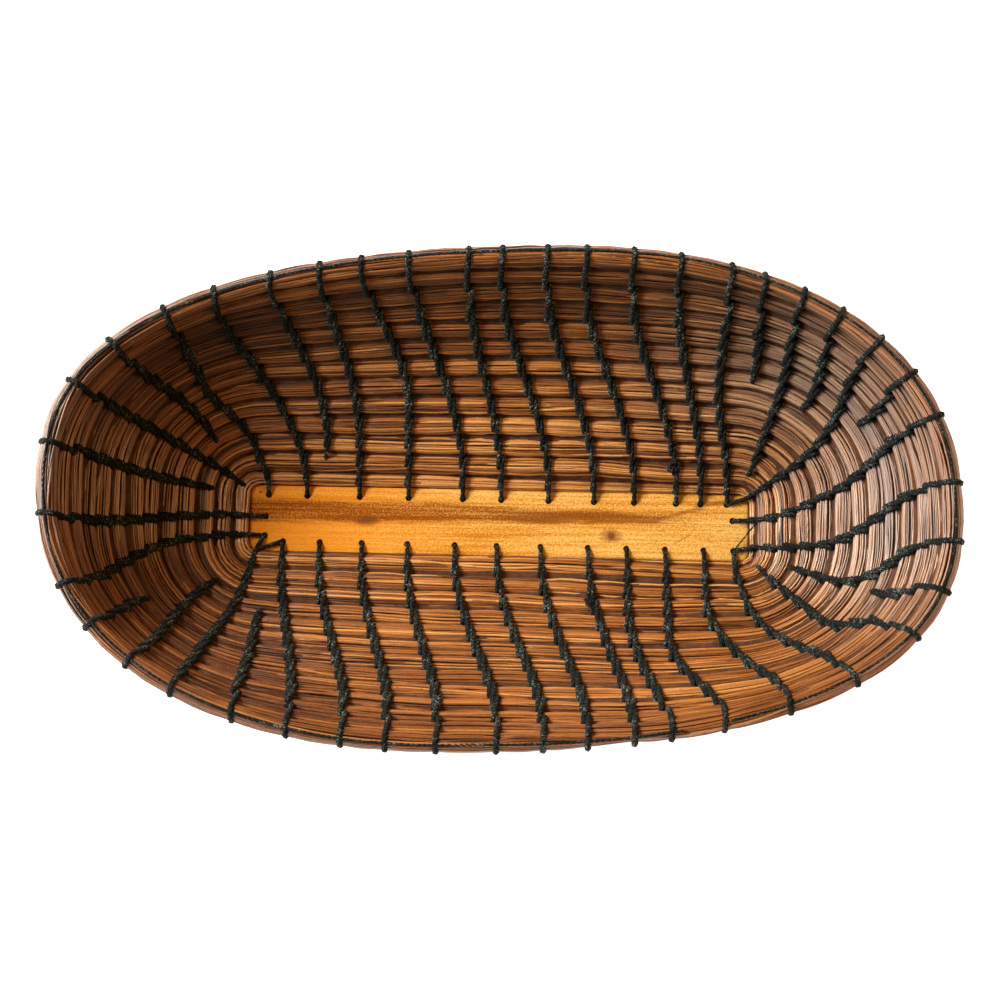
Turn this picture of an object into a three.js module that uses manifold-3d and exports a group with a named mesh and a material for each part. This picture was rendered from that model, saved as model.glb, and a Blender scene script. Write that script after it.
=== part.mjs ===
// Oval pine needle basket: one long coil of needles wound round a wooden slat and bound by lines of stitches
import * as THREE from 'three';
import { mergeVertices } from 'three/addons/utils/BufferGeometryUtils.js';
import Module from 'manifold-3d';

// Driving sizes, in millimetres and radians
const rimLength = 362;
const rimWidth = 201;
const rimSquareness = 2.35;
const rimTaper = 0.015;
const rimWaveHeight = 1.7;
const rimWaveCount = 4;
const rimWavePhase = THREE.MathUtils.degToRad(105);
const rimTurn = THREE.MathUtils.degToRad(1.05);
const rimShift = 1.0;
const sideRise = 73;
const endRise = 76;
const firstSlope = THREE.MathUtils.degToRad(22);
const slatLength = 214;
const slatWidth = 29;
const slatThickness = 7;
const slatCornerRadius = 4;
const holeInset = 4.5;
const endHoleInset = 7;
const padMargin = 0.9;
const coilLoops = 13;
const coilThickness = 7.6;
const coilStartShare = 0.25;
const coilEndTaper = 0.12;
const rowGap = 0.5;
const threadDiameter = 1.8;
const clearance = 0.3;
const holeClearance = 0.9;
const tableClearance = 0.4;

// How finely the round pieces are faceted
const stepsPerLoop = 40;
const coilSides = 6;
const threadSides = 5;
const stitchStepsUp = 8;
const holeSides = 10;
const cornerSegments = 5;

// Where the thread from a hole meets the first row, inside and underneath, as shares of a row
const holeRowShare = 0.25;
const underRowShare = 0.6;

// The coil starts and runs out on this step of its loop, in the near side towards the right. Its last steps
// are left off, so that its tip is a few needles thick.
const coilEndStep = 35;
const coilTipSteps = 2;

// Lines of stitches: where each starts and where it crosses the rim, in thousandths of the way round from
// the near corner of the right end, and the row that it starts on. A line that starts on row 0 has a hole
// in the slat.
const stitchLines = [
  [18, 50, 0], [63, 67, 7.8], [66, 83, 0.6], [91, 99, 6], [108, 113, 1.4], [124, 126, 6.4],
  [134, 143, 0], [149, 170, 0], [163, 195, 0], [187, 220, 0], [210, 241, 0], [236, 265, 0],
  [263, 283, 0], [285, 315, 0], [316, 340, 0], [344, 362, 0], [362, 388, 1.8], [374, 412, 0],
  [396, 431, 0], [444, 453, 3.6], [468, 472, 0.8], [497, 494, 2.4], [513, 528, 0], [524, 553, 0],
  [567, 570, 7.6], [581, 589, 3.2], [617, 607, 0.3], [631, 629, 4.2], [641, 657, 0], [662, 685, 0],
  [686, 708, 0], [712, 734, 0], [739, 765, 0], [763, 789, 0], [788, 812, 0], [815, 836, 0],
  [837, 855, 0], [859, 882, 0], [881, 911, 0], [898, 936, 0], [950, 962, 1], [977, 997, 2.6],
  [975, 980, 7.8], [1002, 1026, 0.5],
];

// A line leans over from its first row to this row. Some lean over another part of their way, given by the
// line's number and the rows from which and up to which it leans.
const leanEndRow = 11;
const leanRows = {
  1: [0, 10], 3: [3, 10.5], 5: [5, 11], 7: [0, 6], 14: [0.5, 12.8], 15: [4.3, 12.8], 16: [2.7, 13],
  17: [2.5, 13], 19: [0, 6.5], 27: [0.3, 8], 37: [3, 12], 38: [4.8, 11], 39: [2.5, 10],
  40: [0, 9.5], 41: [6.2, 9.2], 42: [5, 10], 44: [3.5, 10.5],
};

// Worked out from the sizes above
const coreX = slatLength / 2 - slatCornerRadius;
const coreY = slatWidth / 2 - slatCornerRadius;
const rimHalfLength = (rimLength - coilThickness) / 2;
const rimHalfWidth = (rimWidth - coilThickness) / 2;
const halfThickness = coilThickness / 2;
const edgeHeight = halfThickness + threadDiameter;
const threadRadius = threadDiameter / 2;
const holeRadius = threadRadius + holeClearance;
const padInset = holeInset + holeRadius + padMargin;
const padEndInset = endHoleInset + holeRadius + padMargin;
const threadLift = halfThickness + clearance + threadRadius;
const reliefHeight = tableClearance + threadDiameter + clearance;
const underThreadHeight = tableClearance + threadRadius;
const hexagonSlant = Math.sin(Math.PI / 3);

// Materials
const wood = new THREE.MeshStandardMaterial({ color: 0xe8aa5c, roughness: 0.55, metalness: 0 });
const needles = new THREE.MeshStandardMaterial({ color: 0xa87242, roughness: 0.6, metalness: 0 });
const thread = new THREE.MeshStandardMaterial({ color: 0x24292a, roughness: 0.8, metalness: 0 });

const wasm = await Module();
wasm.setup();

// A place round the basket, given as a share of one loop: a point of the slat's core and the way out of it.
// Shares are even along the slat's outline moved out to about the middle of the wall.
function station(share) {
  const guideRadius = slatCornerRadius + (rimWidth - slatWidth) / 4;
  const cornerLength = guideRadius * Math.PI / 2;
  const sides = [
    { from: [coreX, -coreY], along: [0, 1], length: 2 * coreY },
    { from: [coreX, coreY], along: [-1, 0], length: 2 * coreX },
    { from: [-coreX, coreY], along: [0, -1], length: 2 * coreY },
    { from: [-coreX, -coreY], along: [1, 0], length: 2 * coreX },
  ];
  let left = (share - Math.floor(share)) * 4 * (coreX + coreY + cornerLength);
  let facing = 0;
  for (const side of sides) {
    const travel = Math.min(left, side.length);
    const core = new THREE.Vector2(...side.from).addScaledVector(new THREE.Vector2(...side.along), travel);
    left -= travel;
    if (left < cornerLength || side === sides.at(-1)) {
      const angle = facing + left / guideRadius;
      return { core, out: new THREE.Vector2(Math.cos(angle), Math.sin(angle)) };
    }
    left -= cornerLength;
    facing += Math.PI / 2;
  }
}

// Whether a point in plan lies inside the rim's centre line, a squarish oval with a slight wave that is wider
// towards the right. It stands a little turned and off centre over the slat.
function insideRim(planX, planY) {
  const x = planX * Math.cos(rimTurn) + (planY - rimShift) * Math.sin(rimTurn);
  const y = (planY - rimShift) * Math.cos(rimTurn) - planX * Math.sin(rimTurn);
  const shareX = Math.abs(x / rimHalfLength) ** rimSquareness;
  const halfWidth = rimHalfWidth * (1 + rimTaper * x / rimHalfLength);
  const shareY = Math.abs(y / halfWidth) ** rimSquareness;
  const angle = Math.atan2(Math.sign(y) * Math.sqrt(shareY), Math.sign(x) * Math.sqrt(shareX));
  const wave = rimWaveHeight * Math.cos(rimWaveCount * angle + rimWavePhase) / Math.hypot(x, y);
  return (shareX + shareY) ** (1 / rimSquareness) < 1 + wave;
}

// How far it is, in plan, from the slat's core to the rim's centre line, found by halving
function runToRim(core, out) {
  let low = 0;
  let high = rimLength;
  for (let halving = 0; halving < 40; halving += 1) {
    const middle = (low + high) / 2;
    if (insideRim(core.x + out.x * middle, core.y + out.y * middle)) {
      low = middle;
    } else {
      high = middle;
    }
  }
  return low;
}

// How many rows the wall has here: one more each time round, until the coil's end tapers away on the rim
function rowsAt(share) {
  const travelled = share - coilEndStep / stepsPerLoop;
  const sinceEnd = travelled - Math.floor(travelled);
  const taper = THREE.MathUtils.smoothstep(1 - sinceEnd, 0, coilEndTaper);
  return coilLoops - 1 + coilStartShare + sinceEnd * taper;
}

// The wall's shape at a place: an arc from the slat's edge, at the first slope, up to the rim
function wallShape(share) {
  const { core, out } = station(share);
  const reach = runToRim(core, out);
  const run = reach - slatCornerRadius;
  const endShare = ((core.x + out.x * reach) / rimHalfLength) ** 2;
  const rise = THREE.MathUtils.lerp(sideRise, endRise, endShare);
  const lastSlope = 2 * Math.atan2(rise, run) - firstSlope;
  const bend = run / (Math.sin(lastSlope) - Math.sin(firstSlope));
  const length = bend * (lastSlope - firstSlope);
  const lastRow = rowsAt(share) - 0.5;
  return { core, out, bend, lastSlope, length, lastRow, pitch: length / lastRow };
}

// A point of the wall: climb is 0 at the slat's edge and 1 on the rim's centre line, lift is the way inward
function wallPoint(share, climb, lift) {
  const { core, out, bend, lastSlope } = wallShape(share);
  const slope = THREE.MathUtils.lerp(firstSlope, lastSlope, climb);
  const run = slatCornerRadius + bend * (Math.sin(slope) - Math.sin(firstSlope)) - lift * Math.sin(slope);
  const height = edgeHeight + bend * (Math.cos(firstSlope) - Math.cos(slope)) + lift * Math.cos(slope);
  return new THREE.Vector3(core.x + out.x * run, core.y + out.y * run, height);
}

// The same point on the faceted wall, between two steps of the coil
function facetPoint(share, climb, lift) {
  const step = share * stepsPerLoop;
  const before = Math.floor(step);
  const from = wallPoint(before / stepsPerLoop, climb, lift);
  const to = wallPoint((before + 1) / stepsPerLoop, climb, lift);
  return from.lerp(to, step - before);
}

// Joins rings of points into one closed tube, with its faces turned outward
function skin(rings) {
  const sides = rings[0].length;
  const points = rings.flat();
  const faces = [];
  for (let ring = 0; ring + 1 < rings.length; ring += 1) {
    for (let side = 0; side < sides; side += 1) {
      const next = (side + 1) % sides;
      const here = ring * sides;
      const beyond = here + sides;
      faces.push([here + side, here + next, beyond + next], [here + side, beyond + next, beyond + side]);
    }
  }
  const lastRing = points.length - sides;
  for (let side = 1; side + 1 < sides; side += 1) {
    faces.push([0, side + 1, side], [lastRing, lastRing + side, lastRing + side + 1]);
  }
  let volume = 0;
  for (const [a, b, c] of faces) {
    volume += points[a].dot(points[b].clone().cross(points[c]));
  }
  const index = faces.flatMap(([a, b, c]) => (volume < 0 ? [a, c, b] : [a, b, c]));
  const geometry = new THREE.BufferGeometry().setFromPoints(points);
  geometry.setIndex(index);
  geometry.computeVertexNormals();
  return geometry;
}

// A round tube through points, with an across vector at each that keeps its section from twisting
function tube(path, acrossAt, radius, sides) {
  const rings = path.map((point, place) => {
    const ahead = path[Math.min(place + 1, path.length - 1)];
    const behind = path[Math.max(place - 1, 0)];
    const tangent = ahead.clone().sub(behind).normalize();
    const across = acrossAt(place).clone();
    across.addScaledVector(tangent, -across.dot(tangent)).normalize();
    const upward = tangent.clone().cross(across);
    return Array.from({ length: sides }, (_, side) => {
      const angle = 2 * Math.PI * side / sides;
      const corner = point.clone().addScaledVector(across, radius * Math.cos(angle));
      return corner.addScaledVector(upward, radius * Math.sin(angle));
    });
  });
  return skin(rings);
}

// The coil's section at a place in its length, counted in loops from its start against the slat
function coilSection(loop) {
  const share = coilEndStep / stepsPerLoop + loop;
  const { pitch, lastRow } = wallShape(share);
  const onRim = loop > coilLoops - 1;
  const outer = onRim ? rowsAt(share) : coilStartShare + loop;
  const inner = Math.max(0, coilStartShare + loop - 1);
  const rows = outer - inner;
  const halfWidth = (rows * pitch - rowGap) / 2;
  const fullHalfWidth = (pitch - rowGap) / 2;
  const height = Math.min(1, halfWidth / fullHalfWidth) * halfThickness / hexagonSlant;
  return { share, climb: (inner + rows / 2) / lastRow, halfWidth, height };
}

function coilRings() {
  const rings = [];
  const lastStep = coilLoops * stepsPerLoop - coilTipSteps;
  for (let step = 0; step <= lastStep; step += 1) {
    const { share, climb, halfWidth, height } = coilSection(step / stepsPerLoop);
    const { length } = wallShape(share);
    const ring = [];
    for (let side = 0; side < coilSides; side += 1) {
      const angle = 2 * Math.PI * side / coilSides;
      ring.push(wallPoint(share, climb + halfWidth * Math.cos(angle) / length, height * Math.sin(angle)));
    }
    rings.push(ring);
  }
  return rings;
}

// The least distance between the points of the coil and those of the next row
function leastGap(rings) {
  let least = Infinity;
  for (let ring = 0; ring + stepsPerLoop < rings.length; ring += 1) {
    for (const point of rings[ring]) {
      for (const other of rings[ring + stepsPerLoop]) {
        least = Math.min(least, point.distanceTo(other));
      }
    }
  }
  return least;
}

// Where a hole of the slat stands in plan
function holePlace(share) {
  const { core, out } = station(share);
  const inset = Math.abs(out.x) > Math.abs(out.y) ? endHoleInset : holeInset;
  return core.clone().addScaledVector(out, slatCornerRadius - inset);
}

// The climbs at which a line of stitches has a point: even steps, and each edge between facets it passes
function stitchClimbs(startShare, rimShare, leanFrom, leanTo, lowClimb) {
  const edges = [];
  const lean = rimShare - startShare;
  const firstEdge = Math.ceil(Math.min(startShare, rimShare) * stepsPerLoop);
  const lastEdge = Math.floor(Math.max(startShare, rimShare) * stepsPerLoop);
  for (let edge = firstEdge; edge <= lastEdge; edge += 1) {
    const way = (edge / stepsPerLoop - startShare) / lean;
    const ease = 0.5 - Math.sin(Math.asin(1 - 2 * way) / 3);
    edges.push(THREE.MathUtils.lerp(leanFrom, leanTo, ease));
  }
  const step = (1 - lowClimb) / stitchStepsUp;
  const evenSteps = Array.from({ length: stitchStepsUp }, (_, place) => lowClimb + step * place);
  const clear = evenSteps.filter((climb) => edges.every((edge) => Math.abs(edge - climb) > step / 4));
  const kept = edges.filter((edge) => edge > lowClimb && edge < 1 - step / 4);
  return [...new Set([lowClimb, ...clear, ...kept])].sort((a, b) => a - b);
}

// One line of stitches: from its hole or first row up the inside, over the rim and down the outside
function stitchLine([start, rim, firstRow], place) {
  const startShare = start / 1000;
  const rimShare = rim / 1000;
  const fromHole = firstRow === 0;
  const { length, pitch } = wallShape(rimShare);
  const lowClimb = (fromHole ? holeRowShare : firstRow) / coilLoops;
  const leans = leanRows[place + 1] ?? [firstRow, leanEndRow];
  const [leanFrom, leanTo] = leans.map((row) => row / coilLoops);
  const shareAt = (climb) => {
    const way = THREE.MathUtils.smoothstep(climb, leanFrom, leanTo);
    return THREE.MathUtils.lerp(startShare, rimShare, way);
  };
  const climbs = stitchClimbs(startShare, rimShare, leanFrom, leanTo, lowClimb);
  const inside = climbs.map((climb) => facetPoint(shareAt(climb), climb, threadLift));
  const outside = climbs.map((climb) => facetPoint(shareAt(climb), climb, -threadLift)).reverse();

  const margin = (clearance + threadRadius) / hexagonSlant;
  const overRim = [1, 0, -1].map((turn) => {
    const angle = turn * Math.PI / 3;
    const beyond = ((pitch - rowGap) / 2 + margin) * Math.cos(angle) / length;
    const lift = (halfThickness / hexagonSlant + margin) * Math.sin(angle);
    return facetPoint(rimShare, 1 + beyond, lift);
  });

  const path = [...inside, ...overRim, ...outside];
  if (fromHole) {
    const hole = holePlace(startShare);
    const inHole = (height) => new THREE.Vector3(hole.x, hole.y, height);
    const underCoil = facetPoint(startShare, lowClimb, 0).setZ(underThreadHeight);
    path.unshift(inHole(slatThickness - threadDiameter), inHole(slatThickness + clearance + threadRadius));
    path.splice(-1, 1, facetPoint(startShare, underRowShare / coilLoops, -threadLift), underCoil);
    path.push(inHole(underThreadHeight), inHole(reliefHeight + threadRadius));
  }
  const nearby = 0.5 / stepsPerLoop;
  const across = wallPoint(rimShare + nearby, 1, 0).sub(wallPoint(rimShare - nearby, 1, 0));
  return tube(path, () => across, threadRadius, threadSides);
}

// The thread round the rim, laid over the stitches from the coil's end nearly all the way round
function rimThread() {
  const layer = clearance + threadRadius + threadDiameter + clearance;
  const margin = layer / hexagonSlant;
  const path = [];
  const inward = [];
  const stepsLeftOpen = Math.ceil(coilEndTaper * stepsPerLoop) + 1;
  for (let step = 1; step <= stepsPerLoop - stepsLeftOpen; step += 1) {
    const share = (coilEndStep + step) / stepsPerLoop;
    const { length, pitch } = wallShape(share);
    const tip = ((pitch - rowGap) / 2 + margin) / length;
    const lift = (halfThickness / hexagonSlant + margin) * hexagonSlant;
    const upper = wallPoint(share, 1 + tip / 2, lift);
    path.push(upper.lerp(wallPoint(share, 1 + tip, 0), 0.5));
    inward.push(wallPoint(share, 1, 1).sub(wallPoint(share, 1, 0)));
  }
  return tube(path, (place) => inward[place], threadRadius, threadSides);
}

// A closed mesh as a solid that can be cut, and back again
function solidOf(geometry) {
  const bare = geometry.clone();
  bare.deleteAttribute('normal');
  bare.deleteAttribute('uv');
  const merged = mergeVertices(bare);
  return new wasm.Manifold(new wasm.Mesh({
    numProp: 3,
    vertProperties: new Float32Array(merged.attributes.position.array),
    triVerts: new Uint32Array(merged.index.array),
  }));
}

function geometryOf(solid) {
  const mesh = solid.getMesh();
  const geometry = new THREE.BufferGeometry();
  geometry.setAttribute('position', new THREE.BufferAttribute(new Float32Array(mesh.vertProperties), 3));
  geometry.setIndex(new THREE.BufferAttribute(new Uint32Array(mesh.triVerts), 1));
  geometry.computeVertexNormals();
  return geometry;
}

// A rectangle with round corners, centred on the origin
function roundedRectangle(length, width, radius, outline = new THREE.Shape()) {
  const x = length / 2 - radius;
  const y = width / 2 - radius;
  outline.absarc(x, y, radius, 0, Math.PI / 2);
  outline.absarc(-x, y, radius, Math.PI / 2, Math.PI);
  outline.absarc(-x, -y, radius, Math.PI, 1.5 * Math.PI);
  outline.absarc(x, -y, radius, 1.5 * Math.PI, 2 * Math.PI);
  return outline;
}

// The slat: its holes go right through, and its underside is cut back round the edge, so that the thread
// clears the table
function baseSlat() {
  const outline = roundedRectangle(slatLength, slatWidth, slatCornerRadius);
  const plate = new THREE.ExtrudeGeometry(outline, {
    depth: slatThickness, bevelEnabled: false, curveSegments: cornerSegments,
  });
  let slat = solidOf(plate);
  for (const [start, , firstRow] of stitchLines) {
    if (firstRow > 0) {
      continue;
    }
    const hole = holePlace(start / 1000);
    const drill = new THREE.CylinderGeometry(holeRadius, holeRadius, 3 * slatThickness, holeSides);
    drill.rotateX(Math.PI / 2).translate(hole.x, hole.y, slatThickness / 2);
    slat = slat.subtract(solidOf(drill));
  }
  const relief = roundedRectangle(slatLength + slatWidth, 2 * slatWidth, slatCornerRadius);
  const padLength = slatLength - 2 * padEndInset;
  const padWidth = slatWidth - 2 * padInset;
  relief.holes.push(roundedRectangle(padLength, padWidth, slatCornerRadius, new THREE.Path()));
  const cutter = new THREE.ExtrudeGeometry(relief, {
    depth: 2 * reliefHeight, bevelEnabled: false, curveSegments: cornerSegments,
  });
  cutter.translate(0, 0, -reliefHeight);
  return geometryOf(slat.subtract(solidOf(cutter)));
}

// The basket
const basket = new THREE.Group();

function addPiece(name, geometry, material) {
  const mesh = new THREE.Mesh(geometry, material.clone());
  mesh.name = name;
  basket.add(mesh);
}

addPiece('base_slat', baseSlat(), wood);

const rings = coilRings();
console.log(`needle_coil: least gap to itself ${leastGap(rings).toFixed(2)} mm`);
addPiece('needle_coil', skin(rings), needles);

stitchLines.forEach((line, place) => {
  addPiece(`stitch_line_${String(place + 1).padStart(2, '0')}`, stitchLine(line, place), thread);
});
addPiece('rim_thread', rimThread(), thread);

export default basket;
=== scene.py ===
"""Oval pine needle basket: bundles of needles coiled round a drilled wooden slat and sewn with dark thread.

All shapes are worked out in millimetres on the same wall as the solids and scaled to metres in the mesh.
"""

import bpy
import numpy as np
from mathutils import Matrix, Vector


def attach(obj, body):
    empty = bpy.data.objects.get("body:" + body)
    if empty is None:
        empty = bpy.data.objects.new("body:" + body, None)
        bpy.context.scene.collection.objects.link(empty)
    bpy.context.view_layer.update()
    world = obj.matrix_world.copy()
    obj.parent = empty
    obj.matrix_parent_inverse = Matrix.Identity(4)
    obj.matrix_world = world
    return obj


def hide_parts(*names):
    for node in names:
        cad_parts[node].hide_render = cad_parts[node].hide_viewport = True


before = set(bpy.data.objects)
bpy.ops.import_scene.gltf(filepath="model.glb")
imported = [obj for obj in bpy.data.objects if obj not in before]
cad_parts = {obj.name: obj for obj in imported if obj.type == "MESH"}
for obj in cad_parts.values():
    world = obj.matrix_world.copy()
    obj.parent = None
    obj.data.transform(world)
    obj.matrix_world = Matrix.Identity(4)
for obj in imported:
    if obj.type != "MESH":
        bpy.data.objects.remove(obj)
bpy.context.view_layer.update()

# Sizes of the wall, the slat and the coil, the same as those of the solids
MILLIMETRE = 0.001
RIM_LENGTH = 362.0
RIM_WIDTH = 201.0
RIM_SQUARENESS = 2.35
RIM_TAPER = 0.015
RIM_WAVE_HEIGHT = 1.7
RIM_WAVE_COUNT = 4
RIM_WAVE_PHASE = np.radians(105)
RIM_TURN = np.radians(1.05)
RIM_SHIFT = 1.0
SIDE_RISE = 73.0
END_RISE = 76.0
FIRST_SLOPE = np.radians(22)
SLAT_LENGTH = 214.0
SLAT_WIDTH = 29.0
SLAT_THICKNESS = 7.0
SLAT_CORNER_RADIUS = 4.0
HOLE_INSET = 4.5
END_HOLE_INSET = 7.0
PAD_INSET = 7.2
PAD_END_INSET = 9.7
PAD_HEIGHT = 2.5
COIL_LOOPS = 13
COIL_THICKNESS = 7.6
COIL_START_SHARE = 0.25
COIL_START_PLACE = 0.875
COIL_END_TAPER = 0.12
SOLID_THREAD_DIAMETER = 1.8
TABLE_CLEARANCE = 0.4

# The slat's edges and holes: a hole is narrow below its neck and has its full radius above its mouth
LOWER_EDGE_RADIUS = 0.5
UPPER_EDGE_RADIUS = 1.2
HOLE_RADIUS = 1.4
HOLE_FOOT_RADIUS = 0.85
HOLE_NECK_DEPTH = 3.0
HOLE_MOUTH_DEPTH = 1.0
HOLE_SIDES = 18
DRILL_OVERSHOOT = 1.0

# The bundle: its start and end, its section, how its rows wander, how stitches draw it in, and its core
COIL_LEAD_IN = 0.06
COIL_END_LEFT_OFF = 0.012
COIL_END_SPREAD = 0.05
COIL_END_LAID_DOWN = 0.32
COIL_END_OVERLAP = 1.5
BUNDLE_SQUARENESS = 2.05
THICKNESS_PER_ROW = 2.2
THINNEST_BUNDLE = 0.25
LEAST_HALF_HEIGHT = 0.2
ROW_VALLEY = 0.3
ROW_SWAY = 0.09
ROW_SWAY_STEP = 34.0
ROW_SWAY_STOPS = (11.2, 12.2)
PINCH_DEPTH = 0.11
PINCH_WIDTH = 4.2
CORE_SIDES = 12
CORE_RINGS_PER_LOOP = 110
CORE_WIDTH_SHARE = 1.16
CORE_RIM_INSET = 0.45
CORE_INSET_LOOPS = 0.1
CORE_THICKNESS_SHARE = 0.62

# Needles: a bed and a tip are shares of a needle's radius, wander and slide are shares of the room between
# two needles, and waves, spread and sink are shares of the bundle's section
NEEDLE_RADIUS = 0.48
NEEDLE_RADIUS_SPREAD = (0.75, 1.22)
NEEDLE_BED = 0.86
NEEDLE_TIP_RADIUS = 0.35
NEEDLE_TIP_LENGTH = 16.0
NEEDLE_TIP_SINK = 0.16
NEEDLE_LENGTHS = (170.0, 270.0)
NEEDLE_OVERLAP = 14.0
NEEDLES_ROUND_BUNDLE = 30
NEEDLE_SIDES = 5
NEEDLE_RINGS = 54
OUTER_NEEDLE_RINGS = 40
TIGHT_LOOPS = 4
NEEDLE_TURNS = (0.6, 1.6)
NEEDLE_WANDER = 0.5
NEEDLE_SLIDE = 0.8
NEEDLE_WAVE_HEIGHT = 0.02
NEEDLE_WAVES = 1.3
NEEDLE_PROUD_SPREAD = 0.034
STRAYS_PER_LOOP = 30
STRAY_LENGTHS = (0.6, 1.0)
STRAY_WANDER = 1.1
STRAY_SLIDE = 4.0
STRAY_PROUD = 0.05

# Tones of the needles, from 0 dark to 1 light. More steps of tone are drawn for a loop than are used.
TONE_LIMITS = (0.02, 0.98)
# Painted light and shade: how much lighter the inner rows and darker the rows towards the rim are painted,
# for the light on the low rows and the shade on the upper wall
ROW_LIGHT_AND_SHADE = 0.20
TIP_TONE = 0.12
TIP_TONE_LENGTH = 40.0
TONE_SPREADS = (0.32, 0.17)
TONE_SPREAD_LOOPS = (2.0, 4.5)
TONE_STEP_SPREAD = 0.05
TONE_STEPS_DRAWN = 16
TONE_STEPS_PER_LOOP = 9
# Lighter and darker stretches of needles, mostly painted light and painted shade: darker stretches stand in
# for the rims' shadows at the far left and near left, lighter ones for the light on the near wall, the low
# far rows and the far-left rim row. Each has its place round and row, their reach in both, and the change of
# tone
TONE_LIGHT_SHADE_PLACES = (
    (0.880, 9.5, 0.070, 3.5, 0.12), (0.770, 10.5, 0.070, 3.0, 0.08), (0.610, 6.0, 0.050, 5.0, -0.24),
    (0.415, 9.0, 0.065, 2.8, -0.30), (0.470, 3.0, 0.080, 3.0, 0.10), (0.240, 2.0, 0.080, 3.0, 0.30),
    (0.130, 6.0, 0.050, 4.0, 0.09), (0.240, 8.5, 0.120, 3.0, -0.10), (0.400, 12.9, 0.080, 0.9, 0.16),
    (0.500, 12.5, 0.050, 1.5, -0.10), (0.000, 8.0, 0.070, 6.0, -0.06), (0.750, 5.5, 0.060, 2.0, -0.06),
    (0.750, 1.5, 0.080, 1.5, 0.10),
)
# Painted sheen: greyer stretches of needles, mostly at the right end, that stand in for the pale reflection
# of the lights, given in the same way
SHEEN_PLACES = (
    (0.050, 8.0, 0.060, 4.5, 0.32), (0.095, 8.5, 0.030, 3.5, 0.28), (0.140, 6.0, 0.050, 4.0, 0.30),
    (0.985, 5.0, 0.050, 4.0, 0.10),
)

# Thread: a kind of thread has the radius of its two plies and their way from the thread's middle
STITCH_PLIES = (0.74, 0.31)
RIM_STITCH_PLIES = (1.02, 0.45)
RIM_PLIES = (0.42, 0.24)
TAIL_PLIES = (0.26, 0.14)
PLY_TURN_LENGTH = 4.6
THREAD_SIDES = 5
STITCH_POINTS = 46
LONG_STITCH_POINTS = 60
STITCH_SIZE_ROWS = (0, 5, 9)
STITCH_SIZES = (0.95, 1.25, 1.4)
STITCH_OVERLAPS = (0.4, 0.9)
FULL_OVERLAP_ROW = 8.0
STITCH_STEP = 1.7
STITCH_SQUARENESS = 5.0
STITCH_SEAT = 0.45
# Rows between a line's first row and the first edge that is sewn, and between the last sewn edge and the rim
SEWN_ROW_GAPS = (0.35, 0.6)
# Where stitches beside the slat start, and how far the others reach below their line's first row, in rows
SLAT_STITCH_ROW = 0.12
FIRST_STITCH_DROP = 0.3
HOLE_STITCH_SIZE = 1.05
RIM_STITCH_ROWS = 2.3
RIM_STITCH_GAP = 0.25
RIM_STITCH_HEIGHT = 0.42
RIM_STITCH_SINK = 0.5
RIM_STITCH_AHEAD = 0.6
RIM_THREAD_LIFT = 0.9
RIM_THREAD_DROP = 0.04
RIM_THREAD_LOOPS = (0.01, 0.985)
RIM_THREAD_POINTS = 720
TAIL_ARCH = 0.5
KNOT_SIZE = 0.62

# Lines of stitches, as in the solids: start and rim in thousandths of the way round, and first row
STITCH_LINES = (
    (18, 50, 0), (63, 67, 7.8), (66, 83, 0.6), (91, 99, 6), (108, 113, 1.4), (124, 126, 6.4),
    (134, 143, 0), (149, 170, 0), (163, 195, 0), (187, 220, 0), (210, 241, 0), (236, 265, 0),
    (263, 283, 0), (285, 315, 0), (316, 340, 0), (344, 362, 0), (362, 388, 1.8), (374, 412, 0),
    (396, 431, 0), (444, 453, 3.6), (468, 472, 0.8), (497, 494, 2.4), (513, 528, 0), (524, 553, 0),
    (567, 570, 7.6), (581, 589, 3.2), (617, 607, 0.3), (631, 629, 4.2), (641, 657, 0), (662, 685, 0),
    (686, 708, 0), (712, 734, 0), (739, 765, 0), (763, 789, 0), (788, 812, 0), (815, 836, 0),
    (837, 855, 0), (859, 882, 0), (881, 911, 0), (898, 936, 0), (950, 962, 1), (977, 997, 2.6),
    (975, 980, 7.8), (1002, 1026, 0.5),
)
# A line leans over from its first row to this row. Some lean over another part of their way, given by the
# line's number and the rows from which and up to which it leans.
LEAN_END_ROW = 11
LEAN_ROWS = {
    1: (0, 10), 3: (3, 10.5), 5: (5, 11), 7: (0, 6), 14: (0.5, 12.8), 15: (4.3, 12.8), 16: (2.7, 13),
    17: (2.5, 13), 19: (0, 6.5), 27: (0.3, 8), 37: (3, 12), 38: (4.8, 11), 39: (2.5, 10),
    40: (0, 9.5), 41: (6.2, 9.2), 42: (5, 10), 44: (3.5, 10.5),
}
# Lines that start on the coil but come out of another line's hole, by number
SHARED_HOLES = {3: (7,), 27: (29, 24), 44: (40,)}
# Knots that end a thread: number of its line, thousandths round and rows up
THREAD_KNOTS = ((6, 126, 9.2), (9, 166.5, 1.4), (36, 815, 2.8))
# The line whose hole also lets out a loose end, and where that end lies: thousandths round and rows up
TAIL_LINE = 40
TAIL_END = (19, 0.7)

# Marks of the slat's wood, in metres. A knot has its place along and across, its half length, its half width
# and its depth of tone. The scratch has its middle, the half lengths at which it has faded and starts to
# fade, and its slant.
KNOTS = (
    (-0.0565, -0.0012, 0.0068, 0.0024, 0.7),
    (-0.0565, -0.0006, 0.0046, 0.0012, 0.8),
    (0.0482, -0.0046, 0.0060, 0.0030, 0.6),
    (0.0482, -0.0046, 0.0022, 0.0014, 0.95),
    (0.002, 0.0112, 0.002, 0.0012, 0.6),
    (-0.1025, 0.0122, 0.0009, 0.0009, 0.9),
)
SCRATCH_PLACE = (0.0785, -0.0053)
SCRATCH_FADE = (0.0048, 0.0034)
SCRATCH_TURN = np.radians(30)

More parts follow.
